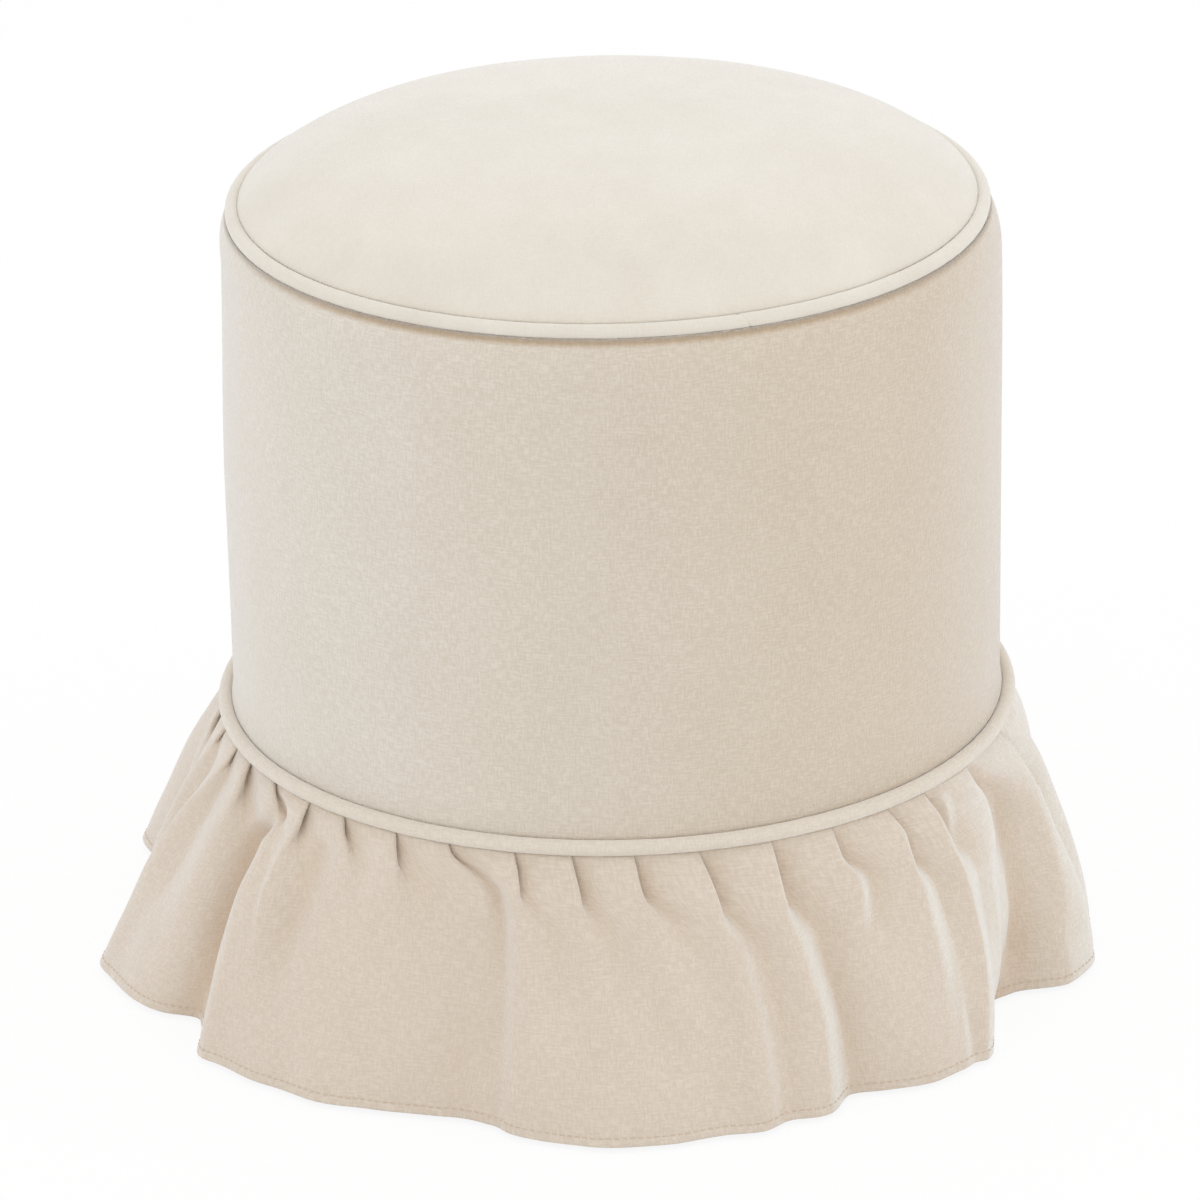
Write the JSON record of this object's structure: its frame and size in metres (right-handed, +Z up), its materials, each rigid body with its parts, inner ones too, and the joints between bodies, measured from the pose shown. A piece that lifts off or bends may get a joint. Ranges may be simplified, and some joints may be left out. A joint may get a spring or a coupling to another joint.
{
  "type": "pouf",
  "caption": "Round upholstered pouf with a domed seat, piped edges and a gathered skirt over a low wooden frame; used as a seat or footstool.",
  "frame": {"origin": "on the floor under the middle of the body", "axes": "+Z up through the middle of the seat, -Y towards the front of the picture, +X to its right"},
  "size_m": [0.521, 0.5051, 0.4536],
  "materials": {
    "velvet": "matte",
    "lining_cloth": "matte",
    "nonwoven": "matte",
    "foam": "matte",
    "wadding": "matte",
    "cotton_cord": "matte",
    "plywood": "matte",
    "pine": "matte",
    "chipboard": "matte",
    "black_plastic": "satin",
    "zinc_steel": "satin"
  },
  "bodies": {
    "root": {"top_panel": "velvet", "side_panel": "velvet", "top_welt_strip": "velvet", "skirt_welt_strip": "velvet", "skirt": "velvet", "lining": "lining_cloth", "dust_cover": "nonwoven", "seat_foam": "foam", "side_foam": "foam", "seat_wadding": "wadding", "top_welt_cord": "cotton_cord", "skirt_welt_cord": "cotton_cord", "base_board": "plywood", "top_board": "plywood", "frame_post_1": "pine", "frame_post_2": "pine", "frame_post_3": "pine", "frame_post_4": "pine", "frame_post_5": "pine", "frame_post_6": "pine", "side_sleeve": "chipboard", "foot_1": "black_plastic", "foot_2": "black_plastic", "foot_3": "black_plastic", "foot_4": "black_plastic", "base_screw_1": "zinc_steel", "base_screw_2": "zinc_steel", "base_screw_3": "zinc_steel", "base_screw_4": "zinc_steel", "base_screw_5": "zinc_steel", "base_screw_6": "zinc_steel", "top_screw_1": "zinc_steel", "top_screw_2": "zinc_steel", "top_screw_3": "zinc_steel", "top_screw_4": "zinc_steel", "top_screw_5": "zinc_steel", "top_screw_6": "zinc_steel", "foot_screw_1": "zinc_steel", "foot_screw_2": "zinc_steel", "foot_screw_3": "zinc_steel", "foot_screw_4": "zinc_steel", "staple_1": "zinc_steel", "staple_2": "zinc_steel", "staple_3": "zinc_steel", "staple_4": "zinc_steel", "staple_5": "zinc_steel", "staple_6": "zinc_steel", "staple_7": "zinc_steel", "staple_8": "zinc_steel", "staple_9": "zinc_steel", "staple_10": "zinc_steel", "staple_11": "zinc_steel", "staple_12": "zinc_steel"}
  },
  "joints": []
}
